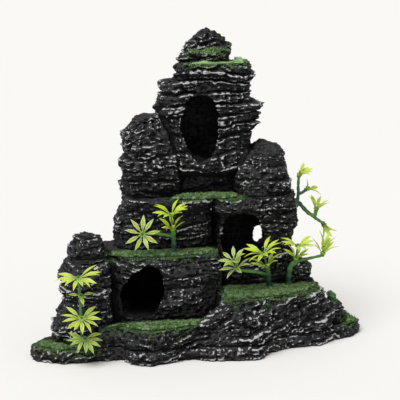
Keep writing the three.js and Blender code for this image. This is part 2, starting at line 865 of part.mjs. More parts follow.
// Where a plant's root point lies on its casting.
function rootPoint({ block, at, level, side }, solids) {
  if (at) return place(at[0], at[1], level);
  const start = place(2 * DRAWN_WIDTH, side[0], side[1]);
  const wall = new THREE.Mesh(
    geometryFrom(solids.get(block)),
    new THREE.MeshBasicMaterial({ side: THREE.DoubleSide }),
  );
  const ray = new THREE.Raycaster(start, new THREE.Vector3(-1, 0, 0));
  return ray.intersectObject(wall)[0].point;
}

// The stem moulding: root peg, limbs, and a collar and a peg for the sprays of each limb.
function stemSolid(plant, root) {
  const into = unit(plant.root.into);
  const pegEnd = root.clone().addScaledVector(into, SOCKET_DEPTH - SOCKET_CLEARANCE);
  const trunk = plant.limbs[0];
  const above = root.clone().addScaledVector(into, -ROOT_JOIN);
  let stem = bar(pegEnd, above, trunk.radius);
  for (const limb of plant.limbs) {
    const points = limb.points.map((p) => new THREE.Vector3(...p).add(root));
    const end = points[points.length - 1];
    const axis = unit(limb.axis);
    const collarEnd = end.clone().addScaledVector(axis, COLLAR_HEIGHT / 2);
    const collarStart = end.clone().addScaledVector(axis, -COLLAR_HEIGHT / 2);
    const highest = Math.max(...limb.sprays.map((spray) => spray.up));
    const reach = GLUE_GAP + highest + HUB_HEIGHT + PEG_TIP;
    stem = stem
      .add(rod(points, limb.radius))
      .add(bar(collarStart, collarEnd, COLLAR_RADIUS))
      .add(bar(end, collarEnd.clone().addScaledVector(axis, reach), PEG_RADIUS));
  }
  return stem;
}

// A leaf spray with its hub's underside at the origin and its bore along +Z.
function spraySolid({ leaves, length, cup, spread = 360 }) {
  const hub = new THREE.LatheGeometry(
    [
      new THREE.Vector2(boreRadius, 0),
      new THREE.Vector2(hubRadius, 0),
      new THREE.Vector2(hubRadius, HUB_HEIGHT),
      new THREE.Vector2(boreRadius, HUB_HEIGHT),
      new THREE.Vector2(boreRadius, 0),
    ],
    STEM_SIDES + 2,
  );
  let spray = solidFrom(hub, new THREE.Matrix4().makeRotationX(Math.PI / 2));
  const start = boreRadius + HUB_WALL / 2;
  const outline = new THREE.Shape();
  outline.moveTo(0, -LEAFLET_NECK / 2);
  outline.lineTo(length * LEAFLET_WIDEST, -LEAFLET_WIDTH / 2);
  outline.lineTo(length, 0);
  outline.lineTo(length * LEAFLET_WIDEST, LEAFLET_WIDTH / 2);
  outline.lineTo(0, LEAFLET_NECK / 2);
  const blade = new THREE.ExtrudeGeometry(outline, {
    depth: LEAFLET_THICKNESS,
    bevelEnabled: false,
  });
  for (let i = 0; i < leaves; i++) {
    const share = spread === 360 ? i / leaves : i / (leaves - 1) - 0.5;
    const matrix = new THREE.Matrix4()
      .makeRotationZ(THREE.MathUtils.degToRad(share * spread))
      .multiply(new THREE.Matrix4().makeTranslation(start, 0, HUB_HEIGHT / 3))
      .multiply(new THREE.Matrix4().makeRotationY(-THREE.MathUtils.degToRad(cup)));
    spray = spray.add(solidFrom(blade, matrix));
  }
  return spray;
}

// ---------------------------------------------------------------- materials

const ROCK = { color: 0x3b3a3d, roughness: 0.82, metalness: 0 };
const MOSS = { color: 0x2f7a2a, roughness: 0.95, metalness: 0 };
const STEM = { color: 0x1f5a3c, roughness: 0.5, metalness: 0 };
const LEAF = { color: 0xa8cf2c, roughness: 0.45, metalness: 0 };

function addMesh(group, name, solid, look) {
  const mesh = new THREE.Mesh(geometryFrom(solid), new THREE.MeshStandardMaterial(look));
  mesh.name = name;
  group.add(mesh);
  return mesh;
}

// ---------------------------------------------------------------- assembly

const rings = new Map();
const solids = new Map();

for (const slab of SLABS) rings.set(slab.name, (grow) => slabRings(slab, grow));
for (const block of BLOCKS) rings.set(block.name, (grow) => blockRings(block, grow));

for (const casting of [...SLABS, ...BLOCKS]) {
  let solid = loft(rings.get(casting.name)(0));
  for (const name of casting.clearOf) solid = solid.subtract(loft(rings.get(name)(GLUE_GAP)));
  for (const cave of casting.caves) solid = solid.subtract(cave());
  solids.set(casting.name, biggestBody(solid));
}

for (const pad of MOSS_PADS) {
  const levels = [
    [pad.level + GLUE_GAP, pad.outline, 0],
    [pad.level + GLUE_GAP + MOSS_THICKNESS / 2, pad.outline, 0],
    [pad.level + GLUE_GAP + MOSS_THICKNESS, pad.outline, -MOSS_BEVEL],
  ];
  let solid = loft(slabRings({ levels }, 0));
  for (const name of pad.clearOf) solid = solid.subtract(loft(rings.get(name)(GLUE_GAP)));
  solids.set(pad.name, biggestBody(solid));
}

const ornament = new THREE.Group();
ornament.name = "resin_cave_ornament";
const rockery = new THREE.Group();
const mossPads = new THREE.Group();
const plants = new THREE.Group();
ornament.add(rockery, mossPads, plants);

for (const plant of PLANTS) {
  const root = rootPoint(plant.root, solids);
  const into = unit(plant.root.into);
  const bottom = root.clone().addScaledVector(into, SOCKET_DEPTH);
  const top = root.clone().addScaledVector(into, -HOLE_OVERRUN);
  const radius = plant.limbs[0].radius;
  const socket = bar(bottom, top, radius + SOCKET_CLEARANCE);
  const mossHole = bar(bottom, top, radius + MOSS_HOLE_CLEARANCE);
  solids.set(plant.root.block, solids.get(plant.root.block).subtract(socket));
  for (const pad of MOSS_PADS) solids.set(pad.name, solids.get(pad.name).subtract(mossHole));
  addMesh(plants, plant.name + "_stem", stemSolid(plant, root), STEM);
  for (const limb of plant.limbs) {
    const axis = unit(limb.axis);
    const end = new THREE.Vector3(...limb.points[limb.points.length - 1]).add(root);
    for (const spray of limb.sprays) {
      const mesh = addMesh(plants, plant.name + "_" + spray.name, spraySolid(spray), LEAF);
      mesh.position.copy(end).addScaledVector(axis, COLLAR_HEIGHT / 2 + GLUE_GAP + spray.up);
      mesh.quaternion.copy(turnTo(axis, spray.facing));
    }
  }
}

for (const { name } of [...SLABS, ...BLOCKS]) addMesh(rockery, name, solids.get(name), ROCK);
for (const { name } of MOSS_PADS) addMesh(mossPads, name, solids.get(name), MOSS);

// The origin goes under the middle of the whole object.
const box = new THREE.Box3().setFromObject(ornament);
const middle = box.getCenter(new THREE.Vector3());
ornament.children.forEach((group) => group.position.set(-middle.x, -middle.y, 0));

export default ornament;
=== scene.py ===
# Looks for a resin aquarium cave ornament: layered dry-brushed rock, flocked moss and plastic plants.
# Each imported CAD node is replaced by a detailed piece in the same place. Metres, +Z up, front -Y.

import math

import bpy
import numpy as np
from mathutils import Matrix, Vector
from mathutils.bvhtree import BVHTree


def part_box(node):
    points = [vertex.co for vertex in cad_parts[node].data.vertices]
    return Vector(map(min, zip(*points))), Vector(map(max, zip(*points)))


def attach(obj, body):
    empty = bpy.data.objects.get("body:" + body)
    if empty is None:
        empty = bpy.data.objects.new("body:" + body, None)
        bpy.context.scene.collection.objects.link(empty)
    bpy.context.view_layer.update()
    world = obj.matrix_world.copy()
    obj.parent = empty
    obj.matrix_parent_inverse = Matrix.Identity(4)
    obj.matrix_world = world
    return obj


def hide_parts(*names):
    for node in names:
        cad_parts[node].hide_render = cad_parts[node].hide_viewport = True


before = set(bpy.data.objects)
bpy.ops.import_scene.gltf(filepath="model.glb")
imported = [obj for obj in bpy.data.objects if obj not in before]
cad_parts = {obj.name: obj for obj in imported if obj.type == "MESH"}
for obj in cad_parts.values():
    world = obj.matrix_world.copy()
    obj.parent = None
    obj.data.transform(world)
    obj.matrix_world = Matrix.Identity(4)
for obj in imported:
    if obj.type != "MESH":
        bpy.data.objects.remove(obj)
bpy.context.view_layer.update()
MM = 0.001

# ---------------------------------------------------------------- camera, light and floor

CAMERA_AT = (-0.16795, -0.96412, 0.3280)
CAMERA_TARGET = (0.00125, -0.00452, 0.1030)
LENS = 129.87
SENSOR = 36.0
FLOOR_RADIUS = 14.0
FLOOR_DROP = 0.0002
SKY_STRENGTH = 0.44
SUN_STRENGTH = 2.5
SUN_SOFTNESS = math.radians(38)
SUN_FROM = (-0.55, -0.62, 1.35)


def aim(obj, at, target):
    obj.location = at
    obj.rotation_euler = (Vector(target) - Vector(at)).to_track_quat("-Z", "Y").to_euler()


def link(obj):
    bpy.context.scene.collection.objects.link(obj)
    return obj


camera = link(bpy.data.objects.new("camera", bpy.data.cameras.new("camera")))
camera.data.lens = LENS
camera.data.sensor_width = SENSOR
camera.data.clip_end = 2 * FLOOR_RADIUS
aim(camera, CAMERA_AT, CAMERA_TARGET)
bpy.context.scene.camera = camera
bpy.context.scene.view_settings.view_transform = "Standard"

world = bpy.data.worlds.new("studio")
bpy.context.scene.world = world
world.use_nodes = True
sky = world.node_tree.nodes["Background"]
sky.inputs["Color"].default_value = (1.0, 0.985, 0.962, 1)
sky.inputs["Strength"].default_value = SKY_STRENGTH

sun = link(bpy.data.objects.new("key_light", bpy.data.lights.new("key_light", "SUN")))
sun.data.energy = SUN_STRENGTH
sun.data.angle = SUN_SOFTNESS
sun.data.color = (1.0, 0.985, 0.965)
aim(sun, SUN_FROM, (0, 0, 0))


# ---------------------------------------------------------------- materials


class Shader:
    """A node material with short calls for the few kinds of node used here."""

    def __init__(self, name):
        self.material = bpy.data.materials.new(name)
        self.material.use_nodes = True
        self.tree = self.material.node_tree
        self.surface = self.tree.nodes["Principled BSDF"]
        self.place = self.tree.nodes.new("ShaderNodeTexCoord").outputs["Object"]

    def feed(self, socket, value):
        if isinstance(value, bpy.types.NodeSocket):
            self.tree.links.new(value, socket)
        elif isinstance(value, tuple) and len(value) == 3 and socket.type == "RGBA":
            socket.default_value = (*value, 1)
        else:
            socket.default_value = value

    def attribute(self, name):
        node = self.tree.nodes.new("ShaderNodeAttribute")
        node.attribute_name = name
        return node.outputs["Fac"]

    def noise(self, size, detail=3.0, rough=0.55, stretch=(1, 1, 1)):
        turned = self.tree.nodes.new("ShaderNodeMapping")
        turned.inputs["Scale"].default_value = stretch
        self.tree.links.new(self.place, turned.inputs["Vector"])
        node = self.tree.nodes.new("ShaderNodeTexNoise")
        node.inputs["Scale"].default_value = 1 / size
        node.inputs["Detail"].default_value = detail
        node.inputs["Roughness"].default_value = rough
        self.tree.links.new(turned.outputs["Vector"], node.inputs["Vector"])
        return node.outputs["Fac"]

    def math(self, operation, a, b=0.0):
        node = self.tree.nodes.new("ShaderNodeMath")
        node.operation = operation
        self.feed(node.inputs[0], a)
        self.feed(node.inputs[1], b)
        return node.outputs[0]

    def ramp(self, value, low, high, to_low=0.0, to_high=1.0):
        node = self.tree.nodes.new("ShaderNodeMapRange")
        node.interpolation_type = "SMOOTHSTEP"
        for socket, number in zip(node.inputs[:5], (value, low, high, to_low, to_high)):
            self.feed(socket, number)
        return node.outputs[0]

    def mix(self, share, a, b, blend="MIX"):
        node = self.tree.nodes.new("ShaderNodeMix")
        node.data_type = "RGBA"
        node.blend_type = blend
        self.feed(node.inputs[0], share)
        self.feed(node.inputs[6], a)
        self.feed(node.inputs[7], b)
        return node.outputs[2]

    def bump(self, height, depth, strength=1.0, under=None):
        node = self.tree.nodes.new("ShaderNodeBump")
        node.inputs["Strength"].default_value = strength
        node.inputs["Distance"].default_value = depth
        self.feed(node.inputs["Height"], height)
        if under is not None:
            self.feed(node.inputs["Normal"], under)
        return node.outputs["Normal"]

    def finish(self, color, roughness, normal=None, **fixed):
        self.feed(self.surface.inputs["Base Color"], color)
        self.feed(self.surface.inputs["Roughness"], roughness)
        if normal is not None:
            self.feed(self.surface.inputs["Normal"], normal)
        for name, value in fixed.items():
            self.feed(self.surface.inputs[name.replace("_", " ")], value)
        return self.material


def rock_material():
    s = Shader("dry_brushed_resin")
    dry_brush_and_top_highlight = s.attribute("dry_brush_and_top_highlight")
    painted_hollow_shade = s.attribute("painted_hollow_shade")
    shelter = s.attribute("shelter")
    grit = s.noise(0.9 * MM, 2.0)
    crumb = s.noise(2.6 * MM, 3.0, 0.6, (1, 1, 1.5))
    patch = s.noise(22 * MM, 2.0)
    under = s.attribute("under")
    paint = s.mix(s.ramp(crumb, 0.36, 0.66), (0.0035, 0.0037, 0.0045), (0.036, 0.037, 0.040))
    paint = s.mix(s.ramp(s.attribute("tone"), 0.2, 0.9, 0, 0.32), paint, (0.062, 0.064, 0.067))
    # Pale dry brushing catches the proud edges, in broken strokes, and dusts the rest; the strokes also
    # lean to upward faces as a painted highlight.
    speck = s.ramp(s.math("ADD", grit, s.math("MULTIPLY", dry_brush_and_top_highlight, 0.10)), 0.54, 0.74, 0, 0.32)
    paint = s.mix(speck, paint, (0.22, 0.225, 0.235))
    broken = s.math("ADD", s.math("MULTIPLY", s.math("SUBTRACT", grit, 0.5), 0.8), dry_brush_and_top_highlight)
    broken = s.math("ADD", s.math("MULTIPLY", s.math("SUBTRACT", crumb, 0.5), 1.7), broken)
    region = s.ramp(patch, 0.36, 0.64, -0.45, 0.22)
    stroke = s.ramp(s.math("ADD", broken, region), 0.72, 1.25)
    stroke = s.math("MULTIPLY", stroke, s.ramp(shelter, 0.25, 0.75, 1, 0))
    pale = s.mix(grit, (0.28, 0.285, 0.295), (0.90, 0.91, 0.93))
    paint = s.mix(s.math("MULTIPLY", stroke, 0.9), paint, pale)
    # Painted shade: near black in the hollows between the beds.
    paint = s.mix(s.ramp(painted_hollow_shade, 0.1, 0.9, 0, 0.94), paint, (0.0022, 0.0022, 0.0026))
    # Painted shade: near black on downward faces under the ledges.
    paint = s.mix(s.ramp(under, 0.0, 0.5, 0, 0.95), paint, (0.0018, 0.0018, 0.0022))
    # Green dust of the flock near the pads.
    dust = s.math("ADD", s.attribute("mossy"), s.math("MULTIPLY", s.math("SUBTRACT", crumb, 0.5), 2.4))
    green = s.mix(grit, (0.016, 0.05, 0.010), (0.12, 0.24, 0.06))
    paint = s.mix(s.ramp(dust, 0.55, 1.0, 0, 0.85), paint, green)
    # Painted shade: near black deep in the sheltered caves and recesses.
    paint = s.mix(s.ramp(shelter, 0.55, 0.95), paint, (0.0015, 0.0015, 0.0018))
    fine = s.bump(s.noise(0.9 * MM, 4.0, 0.7), 0.6 * MM, 0.8)
    coarse = s.bump(s.noise(2.2 * MM, 3.0, 0.65, (1, 1, 2.0)), 1.2 * MM, 0.8, fine)
    return s.finish(paint, s.ramp(grit, 0.3, 0.7, 0.62, 0.86), coarse, Specular_IOR_Level=0.22)


def moss_material():
    s = Shader("green_flock")
    grit = s.noise(0.8 * MM, 3.0, 0.65)
    patch = s.noise(7 * MM, 3.0, 0.6)
    tuft = s.noise(2.6 * MM, 3.0, 0.7)
    base = s.mix(s.ramp(patch, 0.36, 0.64), (0.040, 0.105, 0.030), (0.115, 0.25, 0.075))
    base = s.mix(s.ramp(tuft, 0.36, 0.50, 0.8, 0), base, (0.010, 0.022, 0.008))
    base = s.mix(s.ramp(tuft, 0.47, 0.62, 0, 0.85), base, (0.44, 0.56, 0.34))
    base = s.mix(s.ramp(grit, 0.42, 0.72, 0, 0.5), base, (0.24, 0.35, 0.16))
    base = s.mix(s.ramp(s.attribute("tip"), 0, 1, 0, 0.6), base, (0.20, 0.36, 0.11))
    base = s.mix(s.attribute("bright"), base, (0.46, 0.72, 0.32))
    base = s.mix(s.ramp(s.attribute("shade"), 0, 1, 0, 0.6), base, (0.010, 0.026, 0.008))
    return s.finish(base, 0.95, s.bump(grit, 0.5 * MM, 0.8), Specular_IOR_Level=0.15)


def stem_material():
    s = Shader("stem_plastic")
    bark = s.noise(1.6 * MM, 4.0, 0.6, (1, 1, 0.35))
    color = s.mix(s.ramp(bark, 0.35, 0.7), (0.006, 0.030, 0.018), (0.020, 0.085, 0.045))
    color = s.mix(s.ramp(s.attribute("young"), 0, 1, 0, 0.75), color, (0.09, 0.27, 0.035))
    return s.finish(color, s.ramp(bark, 0.3, 0.7, 0.38, 0.58), s.bump(bark, 0.4 * MM, 0.6))


def leaf_material():
    s = Shader("leaf_plastic")
    vein = s.noise(0.9 * MM, 2.0)
    cloud = s.noise(5 * MM, 2.0)
    color = s.mix(s.ramp(s.attribute("along"), 0.0, 0.55), (0.11, 0.28, 0.008), (0.51, 0.70, 0.018))
    color = s.mix(s.ramp(cloud, 0.35, 0.7, 0, 0.40), color, (0.72, 0.80, 0.05))
    muted = s.mix(s.ramp(vein, 0.3, 0.7), (0.08, 0.19, 0.04), (0.27, 0.42, 0.09))
    color = s.mix(s.attribute("muted"), color, muted)
    color = s.mix(s.ramp(s.attribute("rib"), 0.55, 1.0, 0, 0.45), color, (0.12, 0.26, 0.02))
    margin = s.math("MULTIPLY", s.ramp(s.attribute("margin"), 0.5, 1.0), s.attribute("cream"))
    color = s.mix(margin, color, (0.78, 0.80, 0.42))
    return s.finish(
        color,
        s.ramp(vein, 0.3, 0.7, 0.36, 0.50),
        s.bump(vein, 0.15 * MM, 0.5),
        Subsurface_Weight=0.25,
        Subsurface_Radius=(0.0012, 0.0014, 0.0004),
        Subsurface_Scale=0.5,
    )


def floor_material():
    s = Shader("paper_floor")
    grain = s.noise(3 * MM, 2.0)
    color = s.mix(grain, (0.865, 0.862, 0.855), (0.885, 0.882, 0.875))
    return s.finish(color, 0.9, Specular_IOR_Level=0.1)


ROCK = rock_material()
MOSS = moss_material()
STEM = stem_material()
LEAF = leaf_material()

# ---------------------------------------------------------------- noise and mesh helpers


def hashed(x, y, z, seed):
    """A number from 0 to 1 for each whole-number cell."""
    h = (x * 374761393 + y * 668265263 + z * 2147483629 + seed * 1274126177).astype(np.uint32)
    h = (h ^ (h >> np.uint32(13))) * np.uint32(1274126177)
    h = (h ^ (h >> np.uint32(16))) * np.uint32(2246822519)
    return (h ^ (h >> np.uint32(15))).astype(np.float64) / 4294967295.0


def noise(points, size, seed):
    """Smooth noise from -1 to 1, with bumps of about that size."""
    q = points / size + 0.37 * seed
    cell = np.floor(q)
    f = q - cell
    f = f * f * (3 - 2 * f)
    cell = cell.astype(np.int64)
    total = np.zeros(len(points))
    for corner in range(8):
        step = np.array([corner & 1, corner >> 1 & 1, corner >> 2])
        share = np.prod(np.where(step, f, 1 - f), axis=1)
        total += share * hashed(*(cell + step).T, seed)
    return 2 * total - 1


def ridges(points, size, seed, octaves=3):
    """Sharp-crested fractal noise from about -1 to 1."""
    total = np.zeros(len(points))
    weight = 1.0
    for octave in range(octaves):
        total += weight * (1 - 2.6 * np.abs(noise(points, size / 2**octave, seed + octave)))
        weight *= 0.55
    return total / 1.8


def ease(low, high, value):
    t = np.clip((value - low) / (high - low), 0, 1)
    return t * t * (3 - 2 * t)


class Shape:
    """A mesh as arrays: points in metres, edges, and vertex averages over neighbours."""

    def __init__(self, mesh):
        self.mesh = mesh
        self.points = np.empty(len(mesh.vertices) * 3)
        mesh.vertices.foreach_get("co", self.points)
        self.points = self.points.reshape(-1, 3)
        self.edges = np.empty(len(mesh.edges) * 2, np.int64)
        mesh.edges.foreach_get("vertices", self.edges)
        self.edges = self.edges.reshape(-1, 2)
        self.ends = np.concatenate([self.edges[:, 0], self.edges[:, 1]])
        self.others = np.concatenate([self.edges[:, 1], self.edges[:, 0]])
        self.count = np.maximum(np.bincount(self.ends, minlength=len(self.points)), 1)

    def average(self, values, times=1, keep=0.3):
        """Values blurred over the mesh."""
        flat = values.reshape(len(self.points), -1)
        for _ in range(times):
            near = np.stack(
                [
                    np.bincount(self.ends, weights=flat[self.others, k], minlength=len(flat))
                    for k in range(flat.shape[1])
                ],
                axis=1,
            )
            flat = keep * flat + (1 - keep) * near / self.count[:, None]
        return flat.reshape(values.shape)

    def spread_low(self, values, times):
        """Each value replaced by the lowest near it."""
        for _ in range(times):
            low = values.copy()
            np.minimum.at(low, self.ends, values[self.others])
            values = low
        return values

    def normals(self):
        self.mesh.vertices.foreach_set("co", self.points.ravel())
        self.mesh.update()
        out = np.empty(len(self.points) * 3)
        self.mesh.vertices.foreach_get("normal", out)
        return out.reshape(-1, 3)

    def store(self, name, values):
        layer = self.mesh.attributes.new(name, "FLOAT", "POINT")
        layer.data.foreach_set("value", np.asarray(values, np.float32))


def remeshed(mesh, voxel):
    """The same solid with an even fine mesh."""
    source = link(bpy.data.objects.new("source", mesh))
    fine = source.modifiers.new("fine", "REMESH")
    fine.mode = "VOXEL"
    fine.voxel_size = voxel
    fine.adaptivity = 0
    made = bpy.data.meshes.new_from_object(source.evaluated_get(bpy.context.evaluated_depsgraph_get()))
    bpy.data.objects.remove(source)
    made.materials.clear()
    return made


def mesh_from(points, faces):
    mesh = bpy.data.meshes.new("made")
    mesh.from_pydata([tuple(p) for p in points], [], [tuple(f) for f in faces])
    mesh.update()
    return mesh


def tree_of(names):
    """A search tree over CAD nodes."""
    points, faces = [], []
    for name in names:
        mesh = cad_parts[name].data
        start = len(points)
        points += [v.co[:] for v in mesh.vertices]
        faces += [[start + i for i in f.vertices] for f in mesh.polygons]
    return BVHTree.FromPolygons(points, faces)


def show(mesh, name, node, material):
    """A finished mesh as the piece that stands for a CAD node."""
    mesh.name = name
    mesh.materials.append(material)
    mesh.polygons.foreach_set("use_smooth", [True] * len(mesh.polygons))
    piece = link(bpy.data.objects.new(name, mesh))
    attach(piece, "root")
    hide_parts(node)


# ---------------------------------------------------------------- rock

VOXEL = 0.68 * MM
BASE_VOXEL = 0.85 * MM
THICK_BED = 8.8 * MM
THIN_BED = 3.4 * MM
# How far in millimetres the beds, blocks, cracks, crumbs and pits move the face.
THICK_RELIEF = 5.4
THIN_RELIEF = 2.0
BLOCK_RELIEF = 2.1
CRACK_DEPTH = 1.6
FACE_INSET = 2.8
CRUMB_RELIEF = 0.95
GRAIN_RELIEF = 0.62
PIT_DEPTH = 3.0
MOUTH_INSET = 1.1 * MM
SEAM_BACK = 0.4 * MM
SEAM_REACH = 2.4 * MM
GROUND = 0.5 * MM
MOSS_REACH = 11 * MM
PLANT_ROOM = 7 * MM
# Shelter is found once for each cell and side, by rays out over the open half of a ball.
SHELTER_CELL = 3 * MM
SHELTER_REACH = 60 * MM
SHELTER_RAYS = 56
SHELTER_START = 1.5
GRAZING = 0.15
CELL_CODE = np.array([7919, 104729, 1299709])
# How readily each pad's flock climbs the rock above it.
CLIMBS = {"peak_moss": 1.3, "right_terrace_moss": 0.5, "mid_ledge_moss": 0.4, "upper_shelf_moss": 0.5}
# How much the beds of a piece slope down to the right, and how boldly each piece is carved.
TILTS = {"right_terrace": 0.30, "front_step": 0.12, "base_slab": 0.10}
STRENGTHS = {
    "right_terrace": 1.1,
    "base_slab": 0.55,
    "front_step": 0.8,
    "lower_cave_block": 0.85,
    "middle_block": 0.85,
    "tower_block": 1.1,
    "cave_hood": 1.15,
}
# Pieces whose tops are free-standing crags, and how much the rim of each top is worn down.
RIM_WEAR = {"peak_cap": 1.4}
USUAL_RIM_WEAR = 3.2
CRAGS = ("left_pinnacle", "left_column", "right_column", "peak_cap", "rear_outcrop")
MOSS_NODES = sorted(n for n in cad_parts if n.endswith("_moss"))
PLANT_NAMES = ("ledge_tree", "terrace_tree_left", "terrace_tree_right", "wall_climber", "column_hanger")
ROCK_NODES = sorted(
    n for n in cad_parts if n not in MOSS_NODES and not n.startswith(PLANT_NAMES)
)


def beds(points, level, thickness, seed):
    """How proud each bed of rock stands, from 0 to about 1: lips that overhang their own foot."""
    along = np.stack([0 * level, 0 * level, level], axis=1)
    step = level / thickness + 0.5 * noise(along, 2.1 * thickness, seed)
    step += 0.5 * noise(points * (1, 1, 0.45), 2.9 * thickness, seed + 1)
    index = np.floor(step)
    t = step - index
    bed = np.stack([points[:, 0], points[:, 1], index * 6.1 * thickness], axis=1)
    stand = 0.5 + 0.72 * noise(bed, 2.0 * thickness, seed + 2)
    stand += 0.5 * noise(bed, 0.8 * thickness, seed + 3) + 0.36 * noise(bed, 0.35 * thickness, seed + 5)
    lip = ease(0, 0.2, t) * (0.45 + 0.55 * t) * (1 - ease(0.88, 1.0, t))
    return lip * np.clip(stand, 0, 1.35), 0.5 + 0.5 * noise(bed, 4 * thickness, seed + 4)


def layered(points, tilt):
    """How far the rock face stands out in its bedding layers, and a tone for each layer."""
    level = points[:, 2] - tilt * points[:, 0]
    flat = points * (1, 1, 0.6)
    level = level + 3.0 * MM * noise(flat, 31 * MM, 3) + 1.7 * MM * noise(flat, 12 * MM, 4)
    level += 0.9 * MM * noise(points, 4.5 * MM, 5) + 0.5 * MM * noise(points, 2.2 * MM, 6)
    thick, tone = beds(points, level, THICK_BED, 11)
    thin, thin_tone = beds(points, level, THIN_BED, 17)
    patchy = 0.8 + 0.5 * noise(points, 17 * MM, 23)
    blocks = BLOCK_RELIEF * noise(points * (1, 1, 0.8), 15 * MM, 24)
    split = np.clip(1 - np.abs(noise(points * (1, 1, 0.45), 13 * MM, 25)) / 0.07, 0, 1)
    split *= ease(-0.1, 0.4, noise(points, 19 * MM, 26))
    out = patchy * (THICK_RELIEF * thick + THIN_RELIEF * thin) + blocks - CRACK_DEPTH * split - FACE_INSET
    return out * MM, 0.6 * tone + 0.4 * thin_tone


def near_moss(points, up, reach):
    """From 0 to 1, how close an upward facing point lies to a moss pad, and which pad that is."""
    close = np.zeros(len(points))
    owner = np.full(len(points), -1)
    for number, name in enumerate(MOSS_NODES):
        low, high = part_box(name)
        inside = np.all((points > np.array(low) - reach) & (points < np.array(high) + reach), axis=1)
        tree = MOSS_TREES[name]
        for i in np.nonzero(inside & (up > -0.15))[0]:
            spot, _, _, distance = tree.find_nearest(Vector(points[i]), reach)
            if distance is None:
                continue
            climb = CLIMBS.get(name, 0.3) * max(points[i][2] - spot.z, 0) / reach
            near = 1 - distance / reach + climb
            if near > close[i]:
                close[i] = near
                owner[i] = number
    return close, owner


def room_for_plants(points):
    """From 0 beside a plant to 1 a little way off, so that carved rock leaves the plants free."""
    room = np.ones(len(points))
    for plant in PLANT_NAMES:
        names = [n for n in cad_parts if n.startswith(plant)]
        corners = np.array([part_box(n) for n in names])
        low = corners[:, 0].min(0) - PLANT_ROOM
        high = corners[:, 1].max(0) + PLANT_ROOM
        near = np.all((points > low) & (points < high), axis=1)
        tree = tree_of(names)
        for i in np.nonzero(near)[0]:
            distance = tree.find_nearest(Vector(points[i]), PLANT_ROOM)[3]
            if distance is not None:
                room[i] = min(room[i], distance / PLANT_ROOM)
    return room


def ball_directions(count):
    """Directions spread evenly all round."""
    golden = math.pi * (3 - math.sqrt(5))
    ball = []
    for i in range(count):
        z = 1 - (2 * i + 1) / count
        r = math.sqrt(1 - z * z)
        ball.append((r * math.cos(i * golden), r * math.sin(i * golden), z))
    return np.array(ball)


MOSS_TREES = {name: tree_of([name]) for name in MOSS_NODES}
ROCK_TREE = tree_of(ROCK_NODES)
BALL = ball_directions(SHELTER_RAYS)


def shelter_of(points, normals):
    """From 0 to 1, how much of the view out of each point the rock shuts off."""
    cell = np.floor(points / SHELTER_CELL).astype(np.int64) * 6
    axis = np.argmax(np.abs(normals), axis=1)
    side = 2 * axis + (normals[np.arange(len(normals)), axis] > 0)
    _, first, back = np.unique(cell @ CELL_CODE + side, return_index=True, return_inverse=True)
    shut = np.zeros(len(first))
    for k, i in enumerate(first):
        start = Vector(points[i] + normals[i] * SHELTER_START * MM)
        facing = BALL @ normals[i]
        seen = blocked = 0.0
        for direction in np.nonzero(facing > GRAZING)[0]:
            seen += facing[direction]
            if ROCK_TREE.ray_cast(start, Vector(BALL[direction]), SHELTER_REACH)[0] is not None:
                blocked += facing[direction]
        shut[k] = blocked / seen
    return shut[back.ravel()]


def glued_share(shape, node):
    """1 where a face is glued to another piece and keeps its place, 0 where it can be carved."""
    others = tree_of([n for n in ROCK_NODES + MOSS_NODES if n != node])
    glued = np.zeros(len(shape.points))
    for i, (p, n) in enumerate(zip(shape.points, shape.normals())):
        if others.ray_cast(Vector(p - SEAM_BACK * n), Vector(n), SEAM_REACH)[0] is not None:
            glued[i] = 1
    return shape.average(shape.spread_low(glued, 2), 3)


def rounded(shape, glued, worn):
    """The points with their open corners rounded, most where the piece is worn."""
    smooth = shape.average(shape.points, 7)
    if worn is not None:
        smooth = smooth + worn[:, None] * (shape.average(smooth, 40) - smooth)
    return np.where((glued > 0.5)[:, None], shape.points, smooth)


def wall_relief(p, node, steep, free, inside):
    """How far the beds push each point of a wall out sideways, and the tone of its bed."""
    out, tone = layered(p, TILTS.get(node, 0.0))
    wall = STRENGTHS.get(node, 1.0) * out * steep * free * (1 - 0.8 * inside)
    # Lips stay clear of the plants and do not close the cave mouths.
    wall = np.where(wall > 0, wall * room_for_plants(p) * (1 - ease(0.22, 0.45, inside)), wall)
    wall -= MOUTH_INSET * ease(0.30, 0.55, inside) * steep * free
    return wall, tone


def rough_relief(p, slope, free):
    """Crumbs and pits all over, most on the walls."""
    crumbs = ridges(p * (1, 1, 1.7), 5.0 * MM, 27) * CRUMB_RELIEF
    crumbs = crumbs + ridges(p * (1, 1, 1.3), 2.4 * MM, 31, 2) * GRAIN_RELIEF
    pits = np.clip(noise(p, 3.0 * MM, 41) - 0.25, 0, 1) * PIT_DEPTH
    return (crumbs - pits) * MM * (0.35 + 0.65 * ease(0.2, 0.7, slope)) * free


def top_relief(p, up, node, low, high):
    """Millimetres that tops rise or sink: bare ledges a little, the heads of crags far more."""
    if node not in CRAGS:
        return ease(0.5, 0.9, up) * (0.9 * noise(p, 9 * MM, 51) + 0.5 * noise(p, 3.5 * MM, 54) - 0.6)
    middle = (low + high) / 2
    half = (high - low) / 2
    radial = np.linalg.norm(((p - middle) / half)[:, :2], axis=1)
    height = ease(0.6, 1.0, (p[:, 2] - low[2]) / (high[2] - low[2]))
    lumps = 3.4 * noise(p * (1, 1, 0.5), 10 * MM, 52) + 1.4 * noise(p, 4 * MM, 53) - 1.6
    return height * (lumps - RIM_WEAR.get(node, USUAL_RIM_WEAR) * radial**2)


